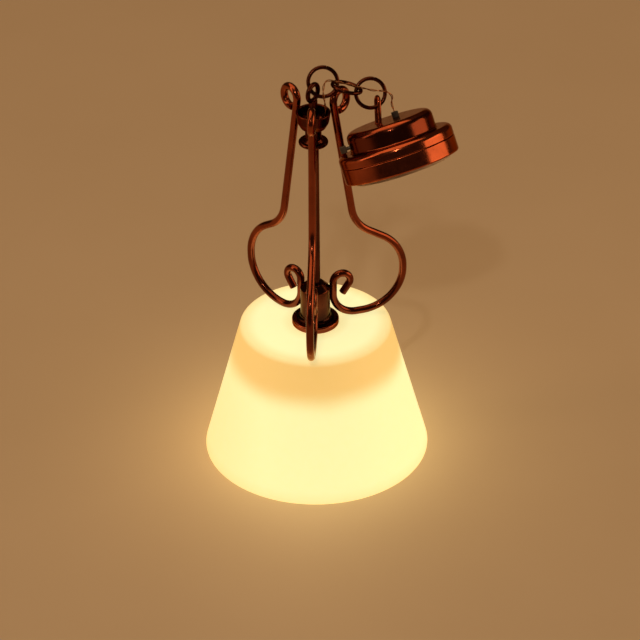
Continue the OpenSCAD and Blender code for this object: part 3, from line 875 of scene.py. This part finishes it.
class LAMP_OT_canopy(bpy.types.Operator):
    """Builds the two-tier cap, its lower shell, the pad, the ferrule and the switch's thumb piece"""

    bl_idname = "lamp.canopy"
    bl_label = "Canopy"

    def cap(self, metal_finish):
        """A pressed shell with soft shoulders, cut for the loop's feet, the ferrule and the switch.

        Its narrow tier below the shoulder is painted dark, as painted shade.
        """
        wide, narrow, wall = CANOPY_D / 2, CANOPY_TOP_D / 2, CANOPY_WALL
        outline = rounded([
            (wide - wall, BASE_H, 0.08), (wide, BASE_H, 0.1), (wide, SHOULDER_Z, 0.9),
            (narrow, SHOULDER_Z, 0.22), (narrow, CANOPY_H, 0.9), (0.02, CANOPY_H, 0),
            (0.02, CANOPY_H - wall, 0), (narrow - wall, CANOPY_H - wall, 0.7),
            (narrow - wall, SHOULDER_Z - wall, 0.3), (wide - wall, SHOULDER_Z - wall, 0.72),
        ], 10)
        profile, worn = outline
        closing = np.argmin(profile[:, 0])
        profile, worn = np.roll(profile, -closing - 1, axis=0), np.roll(worn, -closing - 1)
        # painted shade: the narrow tier's side gets a value of -1, which the plating turns dark
        narrow_tier_painted_shade = (profile[:, 0] < narrow + 0.05) & (profile[:, 1] < CANOPY_H - 0.35)
        worn = np.where(narrow_tier_painted_shade, -1.0, worn)
        piece = solid("cap_shell", canopied(lathe((profile, worn), 192)), metal_finish)
        foot = joint_place("canopy_swing")
        sideways = joint_axis("loop_swing")
        forward = unit(np.cross(sideways, CANOPY_Z))
        cutters = []
        for side in (-1, 1):
            middle = foot + side * sideways * LOOP_HALF_W
            path = middle + np.linspace(-0.8, 0.8, 3)[:, None] * CANOPY_Z
            cutters.append(solid("foot_hole", tube(path, 0.33, forward, 24), metal_finish))
        hole = canopied(shifted(lathe_solid((np.array([
            [0, 5.0], [0.475, 5.0], [0.475, 7.0], [0, 7.0]]), np.zeros(4)), 32), FERRULE_AT))
        cutters.append(solid("ferrule_hole", hole, metal_finish))
        window = canopied(block((-6.65, -1.1, SWITCH_Z - 0.35), (-4.8, 1.1, SWITCH_Z + 0.35)))
        cutters.append(solid("switch_window", window, metal_finish))
        cut(piece, cutters)
        stand_in(piece, "canopy", "antique_copper", "canopy_cap")

    def base(self, metal_finish):
        """A shallow dish with a rounded lower edge and a spigot that stands up inside the cap."""
        spigot = CANOPY_D / 2 - CANOPY_WALL - SLIP
        outline = rounded([
            (0.02, 0, 0), (CANOPY_D / 2, 0, 0.22), (CANOPY_D / 2, BASE_H - 0.02, 0.14),
            (spigot, BASE_H - 0.02, 0.02), (spigot, BASE_H + 0.3, 0.06), (spigot - 0.3, BASE_H + 0.3, 0.06),
            (spigot - 0.3, CANOPY_WALL, 0.3), (0.02, CANOPY_WALL, 0),
        ])
        piece = solid("base_shell", canopied(lathe(outline, 192)), metal_finish)
        stand_in(piece, "base", "antique_copper", "canopy_base")

    def pad(self, pad_finish):
        """A die-cut disc whose edge wanders by a few hundredths of a millimetre."""
        low_z, high_z, radius = -0.45, -0.02, CANOPY_D / 2 - 1.2
        profile = np.array([
            [0, low_z], [radius * 0.5, low_z], [radius - 0.05, low_z], [radius, low_z + 0.06],
            [radius - 0.04, -0.24], [radius, high_z - 0.05], [radius - 0.05, high_z],
            [radius * 0.5, high_z], [0, high_z]])
        points, faces, wear_and_shade = lathe_solid((profile, np.zeros(len(profile))), 160)
        angle = np.arctan2(points[:, 1], points[:, 0])
        wander = 1 - 0.003 * (1 + np.sin(7 * angle) * np.cos(3 * angle + points[:, 2] * 9))
        points = points * np.stack([wander, wander, np.ones(len(points))], axis=1)
        piece = solid("pad_disc", canopied((points, faces, wear_and_shade)), pad_finish, 50)
        stand_in(piece, "base", "adhesive_pad", "ceiling_pad")

    def ferrule(self, rubber_finish):
        """A soft sleeve with a slightly belled mouth."""
        outline = rounded([
            (0.2, CANOPY_H - 0.6, 0.03), (0.45, CANOPY_H - 0.6, 0.04), (0.45, CANOPY_H + 0.5, 0.2),
            (0.45, CANOPY_H + 0.7, 0.1), (0.2, CANOPY_H + 0.7, 0.06)])
        piece = solid("ferrule_sleeve", canopied(shifted(lathe(outline, 48), FERRULE_AT)), rubber_finish)
        stand_in(piece, "canopy", "black_rubber", "lead_ferrule")

    def knob(self, pale_finish):
        """A thumb piece with three ribs on a flat slide, both with broken edges."""
        slide_corners = [(-4.4, -0.85, 0.08), (-4.4, -0.15, 0.08), (-6.2, -0.15, 0.05), (-6.2, -0.85, 0.05)]
        thumb_corners = [(-6.05, -0.95, 0.05), (-6.05, -0.05, 0.05), (-6.72, -0.05, 0.08)]
        for middle in (-0.2, -0.5, -0.8):
            rib = [(-6.72, middle + 0.04, 0.02), (-6.85, middle + 0.1, 0.05),
                   (-6.85, middle - 0.02, 0.05), (-6.72, middle - 0.08, 0.02)]
            thumb_corners += [corner for corner in rib if corner[1] > -0.93]
        thumb_corners.append((-6.72, -0.95, 0.08))
        for name, corners, half in (("knob_slide", slide_corners, 0.2), ("knob_thumb", thumb_corners, 0.45)):
            shape = shifted(slab(corners, half), (0, 0, SWITCH_Z))
            piece = solid(name, canopied(shape), pale_finish)
            stand_in(piece, "switch", "switch_pale", "switch_knob")

    def execute(self, context):
        made = finishes()
        self.cap(made["copper"])
        self.base(made["copper"])
        self.pad(made["pad"])
        self.ferrule(made["rubber"])
        self.knob(made["switch_pale"])
        return {"FINISHED"}


class LAMP_OT_lead(bpy.types.Operator):
    """Builds the lead as two wires twisted together, one stretch for each joint that it crosses"""

    bl_idname = "lamp.lead"
    bl_label = "Lead"

    def stretch(self, name, start, stop):
        """Two helices round the route: point + r (cos b across + sin b up), b growing with length."""
        sizes = bpy.context.scene.lamp_sizes
        wire, twist = sizes.lead_wire / MM, sizes.lead_twist / MM
        per_step = 12
        whole = smooth_curve(LEAD_ROUTE, 0, len(LEAD_ROUTE) - 1, per_step)
        travelled = np.concatenate([[0], np.cumsum(np.linalg.norm(np.diff(whole, axis=0), axis=1))])
        pick = slice(start * per_step, stop * per_step + 1)
        path, length = whole[pick], travelled[pick]
        along = directions(whole)[pick]
        across = unit(np.cross(AXIS_Y, along))
        up = np.cross(along, across)
        shapes = []
        for phase in (0, np.pi):
            angle = (2 * np.pi * length / twist + phase)[:, None]
            strand = path + LEAD_SPREAD * (np.cos(angle) * across + np.sin(angle) * up)
            shapes.append(tube(strand, wire / 2, AXIS_Y, 12))
        return solid(name, joined(shapes), finishes()["wire"])

    def execute(self, context):
        # each stretch's first point, the point where it begins to bend, its last point, bodies and node
        stretches = [
            ("lead_at_eye", 0, 6, 9, "lamp", "ring_1", "lead_eye"),
            ("lead_over_ring_1", 9, 9, 13, "ring_1", "ring_2", "lead_ring_1"),
            ("lead_over_ring_2", 13, 13, 15, "ring_2", "ring_3", "lead_ring_2"),
            ("lead_over_ring_3", 15, 15, 17, "ring_3", "hanging_loop", "lead_ring_3"),
            ("lead_to_ferrule", 17, 17, 21, "hanging_loop", "canopy", "lead_loop"),
        ]
        for name, first, bends_from, last, body_a, body_b, node in stretches:
            piece = self.stretch(name, first, last)
            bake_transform(piece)
            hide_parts(node)
        return {"FINISHED"}


class LAMP_OT_inside(bpy.types.Operator):
    """Builds the washer, nut, holder, lamp and cell, and finishes the small parts that stay as they are"""

    bl_idname = "lamp.inside"
    bl_label = "Inside parts"

    def nut(self, brass_finish):
        """A hexagon whose corners are turned down: the radius is the smaller of the flat's and a cone's."""
        low, high = low_high("stem_nut")
        flat_r = (high[0] - low[0]) / 2 * math.cos(math.pi / 6)
        corner_r = flat_r / math.cos(math.pi / 6)
        points, faces, wear_and_shade = lathe(rounded(ring(STEM_HOLE_R, corner_r, low[2], high[2], 0.04, 0.02, 0.02)))
        angle = np.arctan2(points[:, 1], points[:, 0])
        radius = np.hypot(points[:, 0], points[:, 1])
        hexagon = flat_r / np.cos((angle + np.pi / 6) % (np.pi / 3) - np.pi / 6)
        end = np.minimum(points[:, 2] - low[2], high[2] - points[:, 2])
        cone = corner_r - np.maximum(0.12 - end, 0) * 1.6
        trimmed = np.where(radius > STEM_HOLE_R + 0.1, np.minimum(np.minimum(radius, hexagon), cone), radius)
        scale = trimmed / radius
        points = points * np.stack([scale, scale, np.ones(len(points))], axis=1)
        piece = solid("nut_hexagon", (points, faces, wear_and_shade), brass_finish, 25)
        stand_in(piece, "lamp", "raw_brass", "stem_nut")

    def holder(self, white_finish):
        """A socket whose lower end holds the lamp's flange, with a passage for its pins."""
        low, high = low_high("led_holder")
        bottom = low[2]
        corners = [
            (1.95, bottom, 0.04), (high[0], bottom, 0.12), (high[0], high[2], 0.2),
            (STEM_HOLE_R, high[2], 0.05), (STEM_HOLE_R, bottom + 3.2, 0.03), (0.9, bottom + 3.2, 0.03),
            (0.9, bottom + 2.0, 0.03), (0.3, bottom + 2.0, 0.03), (0.3, bottom + 0.7, 0.03),
            (1.95, bottom + 0.7, 0.1)]
        turned("holder_socket", corners, white_finish, "white_plastic", "led_holder")

    def lamp(self, glass_finish, steel_finish):
        """A half ball under a barrel with a flange, z = bottom + r + r sin a, and two pins."""
        low, high = low_high("led")
        dome_r, flange_r, seat = 1.5, 1.8, low[2] + 4.1
        dome = np.linspace(-np.pi / 2, 0, 24)
        radii = np.concatenate([dome_r * np.cos(dome), [dome_r, flange_r, flange_r, dome_r, dome_r, 0]])
        radii[0] = 0
        heights = np.concatenate([low[2] + dome_r + dome_r * np.sin(dome),
                                  seat + np.array([0.1, 0.1, 0.6, 0.6, 0.62, 0.62])])
        outline = (np.stack([radii, heights], axis=1), np.zeros(len(radii)))
        stand_in(solid("led_dome", lathe_solid(outline, 72), glass_finish), "lamp", "lamp_epoxy", "led")
        heights = np.array([seat + 0.63, high[2] - 0.3, high[2]])[:, None]
        pins = joined([tube(np.array([side * 0.6, 0, 0]) + heights * AXIS_UP, 0.2, AXIS_Y, 16)
                       for side in (-1, 1)])
        stand_in(solid("led_pins", pins, steel_finish), "lamp", "steel")

    def cell(self, steel_finish):
        """A coin cell: the wide can with its narrower cap below."""
        can_r, cap_r, low_z, step_z, high_z = 6.25, 5.45, 1.2, 1.42, 3.15
        outline = rounded([
            (0.02, low_z, 0), (cap_r, low_z, 0.1), (cap_r, step_z, 0.03), (can_r, step_z, 0.2),
            (can_r, high_z, 0.3), (0.02, high_z, 0)])
        stand_in(solid("cell_can", canopied(lathe(outline)), steel_finish), "base", "steel", "coin_cell")

    def execute(self, context):
        made = finishes()
        self.nut(made["brass"])
        low, high = low_high("stem_washer")
        washer = ring(STEM_HOLE_R, high[0], low[2], high[2])
        turned("washer_disc", washer, made["steel"], "steel", "stem_washer")
        self.holder(made["white"])
        self.lamp(made["lamp"], made["steel"])
        self.cell(made["steel"])
        kept = {
            "lead_stem": "wire", "lead_tail": "wire", "contact_board": "board", "battery_clip": "brass",
            "switch_body": "switch_black", "base_magnet": "steel", "base_contact": "brass",
        }
        for node, finish in kept.items():
            materials = frame["nodes"][node].data.materials
            materials.clear()
            materials.append(made[finish])
        return {"FINISHED"}


class LAMP_OT_stage(bpy.types.Operator):
    """Makes the pale floor, the soft lights and the camera"""

    bl_idname = "lamp.stage"
    bl_label = "Floor, lights and camera"

    def floor(self):
        """A large flat sheet of pale paint."""
        half = 1.5
        mesh = bpy.data.meshes.new("floor")
        corners = [(x * half, y * half, 0) for x, y in ((-1, -1), (1, -1), (1, 1), (-1, 1))]
        mesh.from_pydata(corners, [], [(0, 1, 2, 3)])
        finish, tree, shader = new_finish("floor_paint")
        tone = spread(tree, noise(tree, place(tree), 30, 2.0), 0.3, 0.7)
        tree.links.new(mixed(tree, tone, (0.62, 0.53, 0.41), (0.60, 0.51, 0.39)), shader.inputs["Base Color"])
        shader.inputs["Roughness"].default_value = 0.7
        mesh.materials.append(finish)
        floor = bpy.data.objects.new("floor", mesh)
        bpy.context.scene.collection.objects.link(floor)

    def light(self, name, at, target, size, watts, colour):
        """An area light that looks at a target."""
        data = bpy.data.lights.new(name, "AREA")
        data.shape = "RECTANGLE"
        data.size, data.size_y = size
        data.energy = watts
        data.color = colour
        lamp = bpy.data.objects.new(name, data)
        lamp.location = at
        lamp.rotation_euler = (Vector(target) - Vector(at)).to_track_quat("-Z", "Y").to_euler()
        bpy.context.scene.collection.objects.link(lamp)

    def camera(self):
        """A long lens from in front and above, turned a little so that the stem leans left."""
        aim = Vector((0.0006, -0.00264, 0.02094))
        elevation, roll, distance = math.radians(33.1), math.radians(0.6), 0.4
        away = Vector((0, -math.cos(elevation), math.sin(elevation)))
        data = bpy.data.cameras.new("view")
        data.lens = 171.7
        data.clip_start, data.clip_end = 0.01, 10
        camera = bpy.data.objects.new("view", data)
        camera.location = aim + away * distance
        look = (-away).to_track_quat("-Z", "Y").to_matrix()
        camera.rotation_euler = (look @ Matrix.Rotation(-roll, 3, "Z")).to_euler()
        bpy.context.scene.collection.objects.link(camera)
        bpy.context.scene.camera = camera

    def execute(self, context):
        scene = context.scene
        self.floor()
        self.camera()
        middle = (0, 0, 0.03)
        self.light("overhead", (-0.18, 0.12, 0.7), middle, (0.8, 0.8), 2.4, (1.0, 0.58, 0.27))
        self.light("right", (0.40, -0.03, 0.14), middle, (0.34, 0.24), 0.55, (1.0, 0.60, 0.30))
        self.light("left", (-0.42, -0.10, 0.22), middle, (0.10, 0.40), 0.3, (1.0, 0.60, 0.32))
        self.light("sparkle", (-0.04, -0.30, 0.33), middle, (0.015, 0.015), 0.16, (1.0, 0.80, 0.56))
        bulb = bpy.data.lights.new("bulb", "POINT")
        bulb.energy, bulb.color, bulb.shadow_soft_size = 0.014, (1.0, 0.60, 0.24), 0.004
        glow = bpy.data.objects.new("bulb", bulb)
        glow.location = (0, 0, 0.0065)
        scene.collection.objects.link(glow)
        world = bpy.data.worlds.new("studio")
        world.use_nodes = True
        background = world.node_tree.nodes["Background"]
        background.inputs["Color"].default_value = (0.55, 0.36, 0.22, 1)
        background.inputs["Strength"].default_value = 0.09
        scene.world = world
        scene.view_settings.view_transform = "Standard"
        return {"FINISHED"}


class LAMP_PT_panel(bpy.types.Panel):
    """The lamp's tools in the sidebar"""

    bl_idname = "LAMP_PT_panel"
    bl_label = "Dolls house lamp"
    bl_space_type = "VIEW_3D"
    bl_region_type = "UI"
    bl_category = "Lamp"

    def draw(self, context):
        for group in (context.scene.lamp_sizes, context.scene.lamp_finishes):
            box = self.layout.box()
            for key in group.__annotations__:
                box.prop(group, key)
        for operator in OPERATORS:
            self.layout.operator(operator.bl_idname)


OPERATORS = (
    LAMP_OT_stage, LAMP_OT_shade, LAMP_OT_turned, LAMP_OT_arms, LAMP_OT_chain, LAMP_OT_canopy,
    LAMP_OT_lead, LAMP_OT_inside,
)
CLASSES = (LampSizes, LampFinishes) + OPERATORS + (LAMP_PT_panel,)


def register():
    """Registers the classes and the scene's settings."""
    for item in CLASSES:
        bpy.utils.register_class(item)
    bpy.types.Scene.lamp_sizes = bpy.props.PointerProperty(type=LampSizes)
    bpy.types.Scene.lamp_finishes = bpy.props.PointerProperty(type=LampFinishes)


def unregister():
    """Takes them away again."""
    del bpy.types.Scene.lamp_finishes
    del bpy.types.Scene.lamp_sizes
    for item in reversed(CLASSES):
        bpy.utils.unregister_class(item)


def main():
    """Builds the whole lamp and its stage."""
    register()
    bpy.ops.lamp.stage()
    bpy.ops.lamp.shade()
    bpy.ops.lamp.turned()
    bpy.ops.lamp.arms()
    bpy.ops.lamp.chain()
    bpy.ops.lamp.canopy()
    bpy.ops.lamp.lead()
    bpy.ops.lamp.inside()


if __name__ == "__main__":
    main()
